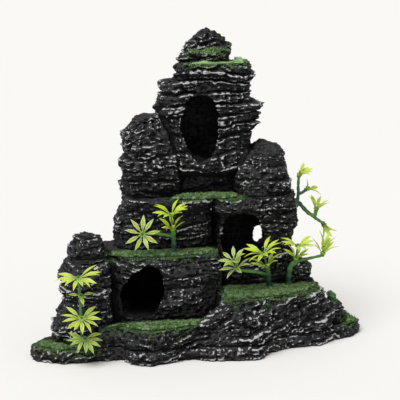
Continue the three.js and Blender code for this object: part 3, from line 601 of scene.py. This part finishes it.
def carve(shape, node, free, low, high):
    """Carves beds, crumbs and lumps into the piece; returns how sheltered each point is and its tone."""
    normals = shape.average(shape.normals(), 3)
    normals /= np.maximum(np.linalg.norm(normals, axis=1), 1e-9)[:, None]
    slope = np.sqrt(np.clip(1 - normals[:, 2] ** 2, 0, 1))
    sideways = normals * (1, 1, 0)
    sideways /= np.maximum(np.linalg.norm(sideways, axis=1), 1e-6)[:, None]
    p = shape.points
    inside = shape.average(shelter_of(p, normals), 10)
    wall, tone = wall_relief(p, node, ease(0.15, 0.55, slope), free, inside)
    rough = rough_relief(p, slope, free)
    shape.points = p + sideways * wall[:, None] + normals * rough[:, None]
    shape.points[:, 2] += top_relief(p, normals[:, 2], node, low, high) * free * MM
    return inside, tone


def mark_for_paint(shape, normals, free):
    """Stores where the dry brush catches, with a painted highlight on upward faces, and where painted
    shade darkens the hollows and downward faces.
    """
    near = np.sum((shape.points - shape.average(shape.points, 5)) * normals, axis=1)
    wide = np.sum((shape.points - shape.average(shape.points, 24)) * normals, axis=1)
    # The upward lean (normal z) is a painted highlight: pale strokes favour the tops of the lips.
    crest_and_top_highlight = near / (0.30 * MM) + wide / (2.0 * MM) + 0.3 * normals[:, 2]
    shape.store("dry_brush_and_top_highlight", np.clip(0.5 * crest_and_top_highlight, -1, 1.6) * free)
    # Mask for the painted shade in the hollows.
    shape.store("painted_hollow_shade", np.clip(-(wide + near) / (0.8 * MM), 0, 1))
    # Mask for the painted shade on downward faces.
    shape.store("under", np.clip(-normals[:, 2], 0, 1))


def make_rock(node):
    voxel = BASE_VOXEL if node == "base_slab" else VOXEL
    shape = Shape(remeshed(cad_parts[node].data.copy(), voxel))
    low, high = (np.array(corner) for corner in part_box(node))
    glued = glued_share(shape, node)
    grounded = shape.points[:, 2] < GROUND
    worn = None
    if node in CRAGS:
        worn = ease(0.55, 0.95, (shape.points[:, 2] - low[2]) / (high[2] - low[2]))
    shape.points = rounded(shape, glued, worn)
    inside, tone = carve(shape, node, 1 - glued, low, high)
    shape.points[grounded, 2] = 0
    shape.points[:, 2] = np.maximum(shape.points[:, 2], 0)

    normals = shape.normals()
    mark_for_paint(shape, normals, 1 - glued)
    shape.store("tone", tone)
    shape.store("shelter", inside)
    mossy, owner = near_moss(shape.points, normals[:, 2], MOSS_REACH)
    mossy *= ease(-0.2, 0.4, normals[:, 2])
    shape.store("mossy", mossy)
    show(shape.mesh, node + "_casting", node, ROCK)
    return shape.points, normals, mossy, owner


rocks = {node: make_rock(node) for node in ROCK_NODES}

# ---------------------------------------------------------------- moss

PAD_VOXEL = 0.7 * MM
BLADES_PER_MM2 = 4.5
BLADE_HEIGHT = 1.25 * MM
BLADE_WIDTH = 0.42 * MM
BLADE_ROOT = 0.2
CREEP_SCATTER = 0.25 * MM
PEAK_GLOW = 0.7
MOSS_SEED = 100


def ragged_pad(node):
    """The pad with a lumpy top and a ragged rim."""
    shape = Shape(remeshed(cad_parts[node].data.copy(), PAD_VOXEL))
    normals = shape.average(shape.normals(), 2)
    p = shape.points
    lumps = 0.55 * noise(p, 4 * MM, 61) + 0.35 * noise(p, 1.9 * MM, 62)
    ragged = 1.8 * noise(p, 6 * MM, 63) + 0.9 * noise(p, 2.6 * MM, 64) - 0.9
    up = ease(0.3, 0.9, normals[:, 2])
    raised = np.stack([0 * up, 0 * up, lumps * MM * up], 1)
    shape.points = p + normals * (1, 1, 0) * (ragged * MM)[:, None] + raised
    shape.normals()
    return shape


def feet_on_pad(shape, rng):
    """Places for blades over the pad's upper faces, and the way each place faces."""
    mesh = shape.mesh
    mesh.calc_loop_triangles()
    triangles = np.empty(len(mesh.loop_triangles) * 3, np.int64)
    mesh.loop_triangles.foreach_get("vertices", triangles)
    triangles = triangles.reshape(-1, 3)
    a, b, c = (shape.points[triangles[:, k]] for k in range(3))
    cross = np.cross(b - a, c - a)
    area = np.linalg.norm(cross, axis=1) / 2
    facing = cross / np.linalg.norm(cross, axis=1)[:, None]
    area *= facing[:, 2] > -0.2
    count = int(area.sum() / MM**2 * BLADES_PER_MM2)
    chosen = rng.choice(len(area), count, p=area / area.sum())
    r1, r2 = rng.random(count), rng.random(count)
    flip = r1 + r2 > 1
    r1, r2 = np.where(flip, 1 - r1, r1), np.where(flip, 1 - r2, r2)
    foot = a[chosen] + r1[:, None] * (b - a)[chosen] + r2[:, None] * (c - a)[chosen]
    return foot, facing[chosen]


def feet_on_rock(foot, facing, number, rng):
    """The same with more places on the bare rock round the pad, in thinning tufts."""
    for rock, rock_normals, mossy, owner in rocks.values():
        own = np.nonzero(owner == number)[0]
        spot = rock[own]
        thick = mossy[own] + 0.42 * noise(spot, 6 * MM, 66) + 0.2 * noise(spot, 2.5 * MM, 67)
        creeping = own[rng.random(len(own)) < 0.9 * ease(0.42, 0.95, thick)]
        foot = np.vstack([foot, rock[creeping] + rng.normal(0, CREEP_SCATTER, (len(creeping), 3))])
        facing = np.vstack([facing, rock_normals[creeping]])
    return foot, facing


def blades_from(foot, facing, start, rng):
    """Thin closed pyramids on the feet: points four by four, and faces counted from start."""
    count = len(foot)
    foot -= facing * BLADE_ROOT * MM
    lean = rng.normal(0, 0.5, (count, 3)) + 0.8 * facing
    lean[:, 2] += 0.6
    lean /= np.linalg.norm(lean, axis=1)[:, None]
    height = BLADE_HEIGHT * rng.uniform(0.4, 1.2, count) * (1 + 0.5 * noise(foot, 5 * MM, 65))
    turn = rng.uniform(0, 2 * math.pi, count)
    corners = [
        foot + 0.5 * BLADE_WIDTH * np.stack([np.cos(turn + k), np.sin(turn + k), 0 * turn], 1)
        for k in (0, 2.094, 4.189)
    ]
    tip = foot + lean * height[:, None]
    points = np.stack([*corners, tip], axis=1).reshape(-1, 3)
    first = start + 4 * np.arange(count)
    faces = [
        np.stack([first + i, first + j, first + k], 1)
        for i, j, k in ((0, 1, 3), (1, 2, 3), (2, 0, 3), (0, 2, 1))
    ]
    return points, np.concatenate(faces).tolist()


def make_moss(node, number):
    rng = np.random.default_rng(MOSS_SEED + number)
    shape = ragged_pad(node)
    foot, facing = feet_on_pad(shape, rng)
    foot, facing = feet_on_rock(foot, facing, number, rng)
    count = len(foot)
    points, faces = blades_from(foot, facing, len(shape.points), rng)
    pad_faces = [tuple(f.vertices) for f in shape.mesh.polygons]
    whole = Shape(mesh_from(np.concatenate([shape.points, points]), pad_faces + faces))
    pad = np.zeros(len(shape.points))
    whole.store("tip", np.concatenate([pad, np.tile([0, 0, 0, 1.0], count)]))
    glow = PEAK_GLOW if node == "peak_moss" else 0.0
    shade = np.concatenate([pad + 0.5, np.repeat(rng.random(count) ** 1.5, 4)])
    whole.store("shade", shade * (1 - glow))
    bright = glow + 0.5 * (rng.random(count) > 0.86)
    whole.store("bright", np.concatenate([pad + glow, np.repeat(bright, 4)]))
    show(whole.mesh, node + "_flock", node, MOSS)


for number, node in enumerate(MOSS_NODES):
    make_moss(node, number)

# ---------------------------------------------------------------- plants

# Limbs as points in millimetres from the root, and on each limb's peg the leaf sprays: how far up
# it, how many leaflets, their length, cup and spread in degrees, and the side the spread faces.
PLANTS = {
    "ledge_tree": [
        {
            "points": [[0, 0, 1], [0.2, -1, 7], [-0.4, -3.4, 13], [-1, -6.3, 17.5]],
            "radius": 1.8,
            "axis": [-0.15, -0.3, 0.94],
            "sprays": [("crown_lower", 0, 6, 11, 42, 360), ("crown_upper", 11.5, 11, 13, 30, 280)],
        },
        {
            "points": [[-0.5, -3.4, 13], [-8, -6, 15.5], [-16, -8, 17], [-22.5, -9, 16.5]],
            "radius": 1.1,
            "axis": [-0.15, -0.85, 0.5],
            "sprays": [("side", 0, 9, 12.5, 10, 360)],
        },
    ],
    "terrace_tree_left": [
        {
            "points": [[0, 0, 1], [-0.5, -0.8, 6], [-1.5, -3, 12], [-2.5, -5.5, 16.5]],
            "radius": 1.8,
            "axis": [-0.28, -0.3, 0.9],
            "sprays": [("crown_lower", 0, 7, 13, 32, 250), ("crown_upper", 11, 11, 14, 20, 280)],
        },
        {
            "points": [[-1.2, -2.4, 10.5], [-9, -7, 14], [-17, -10, 16], [-25, -12, 18]],
            "radius": 1.1,
            "axis": [-0.38, -0.25, 0.88],
            "sprays": [("low_under", 0, 7, 12, 8, 360), ("low_over", 6.5, 7, 10.5, 24, 360)],
        },
    ],
    "terrace_tree_right": [
        {
            "points": [[0, 0, 1], [0, -0.5, 8], [1, -1.5, 15], [4, -3.5, 20]],
            "radius": 1.8,
            "axis": [0.05, -0.25, 0.96],
            "sprays": [("crown_lower", 0, 7, 10.5, 40, 300), ("crown_upper", 10, 10, 12, 18, 235)],
        },
        {
            "points": [[1.2, -1.8, 16], [8, -1.5, 19.5], [16, -1, 20.5], [24, -1, 22]],
            "radius": 1.1,
            "axis": [0.15, -0.12, 0.98],
            "sprays": [("side_lower", 0, 6, 12, 44, 360), ("side_upper", 3.5, 5, 13, 66, 360)],
        },
    ],
    "wall_climber": [
        {
            "points": [[0, 0, 1], [0, -2.5, 6], [-0.5, -3.5, 14], [-1, -4, 30], [-2, -5, 50]],
            "radius": 1.1,
            "axis": [-0.1, -0.35, 0.93],
            "sprays": [("top", 0, 11, 14.5, 10, 230)],
        },
        {
            "points": [[-1.4, -4.2, 35], [-1.2, -6.5, 36.5], [-1, -8, 38.5]],
            "radius": 1.1,
            "axis": [0, -0.5, 0.86],
            "sprays": [("pair", 0, 3, 8, 5, 210)],
        },
        {
            "points": [[-0.6, -3.8, 19], [-0.8, -6, 20.5], [-1, -8, 23]],
            "radius": 1.1,
            "axis": [0, -0.6, 0.8],
            "sprays": [("middle", 0, 11, 13, 8, 260)],
        },
        {
            "points": [[0, -2.8, 5.5], [0.5, -5, 6.5], [1, -7, 8.5]],
            "radius": 1.1,
            "axis": [0.05, -0.7, 0.7],
            "sprays": [("low", 0, 9, 11.5, 6, 220)],
        },
    ],
    "column_hanger": [
        {
            "points": [[1, 0, 0], [4, -1, -2], [8, -1.5, -6.5], [12, -2, -10], [15, -2.4, -10.5],
                       [15.5, -2.6, -7.5]],
            "radius": 1.4,
            "axis": [0.15, -0.15, 0.97],
            "sprays": [("outer", 0, 7, 10, 48, 360)],
        },
        {
            "points": [[2.4, -0.5, -0.6], [3, -1, 5], [2.8, -1.2, 10], [3, -1.5, 17.5]],
            "radius": 1.1,
            "axis": [0.25, -0.25, 0.93],
            "sprays": [("top", 0, 7, 9.5, 34, 190, [1, -0.5, 0])],
        },
        {
            "points": [[3, -1.2, 5], [5.5, -1.5, 6], [8, -2, 8]],
            "radius": 1.1,
            "axis": [0.75, -0.25, 0.6],
            "sprays": [("inner", 0, 4, 9, 32, 200, [1, -1, 0])],
        },
        {
            "points": [[11, -1.9, -9], [15, -0.5, -12.5], [19, 1.5, -15.5], [22.5, 3.5, -18]],
            "radius": 1.1,
            "axis": [0.5, 0.1, -0.86],
            "sprays": [("end", 0, 5, 10, 62, 360)],
        },
    ],
}
ROOT_PEG = 5.7
COLLAR_HALF = 0.7
COLLAR_RADIUS = 1.5
PEG_RADIUS = 0.6
PEG_TIP = 0.8
HUB_GAP = 0.35
HUB_HEIGHT = 1.8
PEG_ABOVE_SPRAY = HUB_GAP + HUB_HEIGHT + PEG_TIP
HUB_BORE = 0.95
HUB_RADIUS = 1.95
LEAF_FOOT = (1.05, 0, HUB_HEIGHT / 3 + 0.35)
LEAF_WIDTH = 3.0
STEM_VOXEL = 0.3 * MM
STEM_SEED = 300
SPRAY_SEED = 400
FRONT = [0, -1, 0]
# How cream the margins and how muted the green of each spray's leaflets are.
TINTS = {
    "ledge_tree_side": (0.95, 0.55),
    "ledge_tree_crown_lower": (0.25, 0.0),
    "ledge_tree_crown_upper": (0.20, 0.0),
    "terrace_tree_left_low_under": (0.95, 0.75),
    "terrace_tree_left_low_over": (0.85, 0.65),
    "wall_climber_top": (0.75, 0.15),
    "wall_climber_pair": (0.60, 0.55),
    "wall_climber_middle": (0.75, 0.25),
    "wall_climber_low": (0.70, 0.70),
}
USUAL_TINT = (0.35, 0.05)


def unit(vector):
    vector = np.asarray(vector, float)
    return vector / np.linalg.norm(vector)


def root_of(plant):
    """Where the plant leaves its casting, found from the peg end of its packed stem."""
    co = np.array([v.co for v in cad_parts[plant + "_stem"].data.vertices], float)
    along = np.array([-1.0, 0, 0]) if plant == "column_hanger" else np.array([0, 0, -1.0])
    depth = co @ along
    end = co[depth > depth.max() - 0.05 * MM]
    return (end.min(0) + end.max(0)) / 2 - along * ROOT_PEG * MM, along


def smooth_path(points, steps=9):
    """A Catmull-Rom curve through the points."""
    points = np.asarray(points, float)
    padded = np.vstack([2 * points[0] - points[1], points, 2 * points[-1] - points[-2]])
    out = []
    for i in range(1, len(padded) - 2):
        p0, p1, p2, p3 = padded[i - 1 : i + 3]
        for t in np.linspace(0, 1, steps, endpoint=False):
            out.append(0.5 * (
                2 * p1 + (p2 - p0) * t + (2 * p0 - 5 * p1 + 4 * p2 - p3) * t**2
                + (3 * p1 - p0 - 3 * p2 + p3) * t**3
            ))
    out.append(points[-1])
    return np.array(out)


def tube(path, radii, lobes, sides=14):
    """Points and faces of a closed round limb along a path."""
    ahead = np.gradient(path, axis=0)
    ahead /= np.linalg.norm(ahead, axis=1)[:, None]
    side = unit(np.cross(ahead[0], [0.31, 0.77, 0.55]))
    points, faces = [], []
    for i, (middle, forward, radius) in enumerate(zip(path, ahead, radii)):
        side = unit(side - forward * (side @ forward))
        other = np.cross(forward, side)
        for k in range(sides):
            angle = 2 * math.pi * k / sides
            r = radius * (1 + lobes[i] * math.cos(5 * angle))
            points.append(middle + r * (math.cos(angle) * side + math.sin(angle) * other))
    rings = len(path)
    for i in range(rings - 1):
        for k in range(sides):
            a, b = i * sides + k, i * sides + (k + 1) % sides
            faces.append((a, b, b + sides, a + sides))
    faces.append(tuple(range(sides - 1, -1, -1)))
    faces.append(tuple((rings - 1) * sides + k for k in range(sides)))
    return points, faces


def make_stem(plant, limbs, seed):
    rng = np.random.default_rng(seed)
    root, into = root_of(plant)
    points, faces = [], []

    def add(part):
        start = len(points)
        points.extend(part[0])
        faces.extend([tuple(start + i for i in f) for f in part[1]])

    trunk = limbs[0]["radius"] * MM
    peg = np.linspace(root + into * ROOT_PEG * MM, root - into * MM, 6)
    add(tube(peg, np.full(6, trunk), np.zeros(6)))
    for number, limb in enumerate(limbs):
        path = smooth_path(root + np.array(limb["points"]) * MM)
        if number == 0:
            path = np.vstack([np.linspace(root - into * 0.1 * MM, path[0], 3)[:-1], path])
        share = np.linspace(0, 1, len(path))
        radius = limb["radius"] * MM * (1.08 - 0.22 * share)
        radius *= 1 + 0.10 * np.sin(share * len(path) * 0.9 + rng.uniform(0, 6))
        lobes = np.zeros(len(path))
        if number == 0:
            distance = np.linalg.norm(path - root, axis=1) / MM
            flare = 1 - ease(0, 3.2, distance)
            radius *= 1 + (0.75 if plant != "column_hanger" else 0.4) * flare
            lobes = 0.28 * flare
        add(tube(path, radius, lobes))
        axis = unit(limb["axis"])
        end = root + np.array(limb["points"][-1]) * MM
        top = end + axis * COLLAR_HALF * MM
        collar = np.linspace(end - axis * COLLAR_HALF * MM, top, 5)
        add(tube(collar, COLLAR_RADIUS * MM * np.array([0.82, 0.97, 1, 0.97, 0.8]), np.zeros(5)))
        reach = max(spray[1] for spray in limb["sprays"]) + PEG_ABOVE_SPRAY
        peg = np.linspace(end, top + axis * reach * MM, 10)
        add(tube(peg, PEG_RADIUS * MM * np.r_[np.ones(9), 0.6], np.zeros(10)))
    shape = Shape(remeshed(mesh_from(points, faces), STEM_VOXEL))
    normals = shape.normals()
    p = shape.points
    knots = 0.12 * noise(p, 1.3 * MM, 71) + 0.10 * ridges(p * (1, 1, 0.4), 1.1 * MM, 72, 2)
    shape.points = p + normals * (knots * MM)[:, None]
    young = ease(4, 22, np.linalg.norm(p - root, axis=1) / MM)
    shape.normals()
    shape.store("young", young)
    show(shape.mesh, plant + "_stem_moulding", plant + "_stem", STEM)


def leaflet(length, cup, rng):
    """One leaflet along +X as a thin closed solid with a raised midrib: points, faces, marks."""
    stations, lanes = 12, 7
    share = np.linspace(0, 1, stations)
    bend = rng.uniform(0.04, 0.20) * length
    blade = np.clip((share - 0.10) / 0.90, 0, 1)
    half = 0.5 * LEAF_WIDTH * np.sin(math.pi * blade**0.95) ** 1.1 * rng.uniform(0.82, 1.02)
    half = np.maximum(half, 0.32 * (1 - share) + 0.05)
    wave = 1 + 0.07 * np.sin(share * 21 + rng.uniform(0, 6))
    drift = rng.uniform(-0.05, 0.05) * length * share**2
    thick = 0.30 - 0.12 * share
    points, marks = [], []
    for upper in (True, False):
        for i in range(stations):
            for k in range(lanes):
                lane = 2 * k / (lanes - 1) - 1
                fold = 0.30 * half[i] * abs(lane) ** 1.3
                rib = 0.13 * math.exp(-((lane / 0.22) ** 2)) * (1 - 0.7 * share[i])
                lift = bend * math.sin(math.pi * 0.5 * share[i]) - 1.25 * bend * share[i] ** 2.2
                z = lift + fold + (rib + thick[i] / 2 if upper else -thick[i] / 2 - rib)
                z -= (0.12 * abs(lane) ** 3) * (1 if upper else -1) * thick[i]
                points.append((length * share[i], drift[i] + lane * half[i] * wave[i], z))
                marks.append((share[i], abs(lane), math.exp(-((lane / 0.2) ** 2))))
    size = stations * lanes
    faces = []
    for i in range(stations - 1):
        for k in range(lanes - 1):
            a = i * lanes + k
            faces.append((a, a + lanes, a + lanes + 1, a + 1))
            faces.append((size + a, size + a + 1, size + a + lanes + 1, size + a + lanes))
    rim = [i * lanes for i in range(stations)]
    rim += [(stations - 1) * lanes + k for k in range(1, lanes)]
    rim += [i * lanes + lanes - 1 for i in range(stations - 2, -1, -1)]
    rim += [k for k in range(lanes - 2, 0, -1)]
    for a, b in zip(rim, rim[1:] + rim[:1]):
        faces.append((a, size + a, size + b, b))
    turn = math.radians(cup)
    points = np.array(points)
    roll = math.radians(rng.uniform(-26, 26))
    y = points[:, 1] * math.cos(roll) - points[:, 2] * math.sin(roll)
    z = points[:, 1] * math.sin(roll) + points[:, 2] * math.cos(roll)
    x = points[:, 0]
    c, s = math.cos(turn), math.sin(turn)
    turned = np.stack([x * c - z * s, y, x * s + z * c], 1)
    return turned, faces, marks


def hub():
    """A small bored ring with rounded edges."""
    profile = [
        (HUB_BORE, 0.15), (HUB_BORE + 0.12, 0), (HUB_RADIUS - 0.3, 0), (HUB_RADIUS, 0.35),
        (HUB_RADIUS, 1.0), (HUB_RADIUS - 0.35, 1.55), (HUB_BORE + 0.25, HUB_HEIGHT),
        (HUB_BORE, HUB_HEIGHT - 0.2),
    ]
    sides = 18
    points = [
        (r * math.cos(2 * math.pi * k / sides), r * math.sin(2 * math.pi * k / sides), z)
        for r, z in profile
        for k in range(sides)
    ]
    faces = []
    for i in range(len(profile)):
        j = (i + 1) % len(profile)
        for k in range(sides):
            m = (k + 1) % sides
            faces.append((i * sides + k, i * sides + m, j * sides + m, j * sides + k))
    return np.array(points), faces, [(0, 0, 0)] * len(points)


def make_spray(plant, root, limb, spray, seed):
    rng = np.random.default_rng(seed)
    name, up, count, length, cup, spread = spray[:6]
    facing = spray[6] if len(spray) > 6 else FRONT
    axis = unit(limb["axis"])
    y_axis = unit(np.cross(axis, facing))
    turn = np.stack([np.cross(y_axis, axis), y_axis, axis], axis=1)
    base = root / MM + np.array(limb["points"][-1]) + axis * (COLLAR_HALF + HUB_GAP + up)
    points, faces, marks = [], [], []

    def add(part, matrix):
        start = len(points)
        points.extend(part[0] @ matrix.T)
        faces.extend([tuple(start + i for i in f) for f in part[1]])
        marks.extend(part[2])

    add(hub(), np.eye(3))
    for i in range(count):
        share = i / count if spread == 360 else i / (count - 1) - 0.5
        angle = math.radians(share * spread + rng.uniform(-3, 3))
        reach = length * rng.uniform(0.93, 1.03)
        made, made_faces, made_marks = leaflet(reach, cup + rng.uniform(-7, 8), rng)
        made = made + LEAF_FOOT
        c, s = math.cos(angle), math.sin(angle)
        add((made, made_faces, made_marks), np.array([[c, -s, 0], [s, c, 0], [0, 0, 1]]))
    world_points = (np.array(points) @ turn.T + base) * MM
    shape = Shape(mesh_from(world_points, faces))
    marks = np.array(marks)
    node = f"{plant}_{name}"
    cream, muted = TINTS.get(node, USUAL_TINT)
    shape.store("along", marks[:, 0])
    shape.store("margin", marks[:, 1])
    shape.store("rib", marks[:, 2])
    shape.store("cream", np.full(len(marks), cream))
    shape.store("muted", np.full(len(marks), muted))
    show(shape.mesh, node + "_leaves", node, LEAF)


for number, (plant, limbs) in enumerate(PLANTS.items()):
    make_stem(plant, limbs, STEM_SEED + number)
    root = root_of(plant)[0]
    for m, limb in enumerate(limbs):
        for k, spray in enumerate(limb["sprays"]):
            make_spray(plant, root, limb, spray, SPRAY_SEED + 40 * number + 5 * m + k)

# ---------------------------------------------------------------- floor

FLOOR_SIDES = 64
turns = [2 * math.pi * i / FLOOR_SIDES for i in range(FLOOR_SIDES)]
floor_mesh = mesh_from(
    [(0, 0, -FLOOR_DROP)]
    + [(FLOOR_RADIUS * math.cos(t), FLOOR_RADIUS * math.sin(t), -FLOOR_DROP) for t in turns],
    [(0, 1 + i, 1 + (i + 1) % FLOOR_SIDES) for i in range(FLOOR_SIDES)],
)
floor_mesh.materials.append(floor_material())
floor = link(bpy.data.objects.new("studio_floor", floor_mesh))
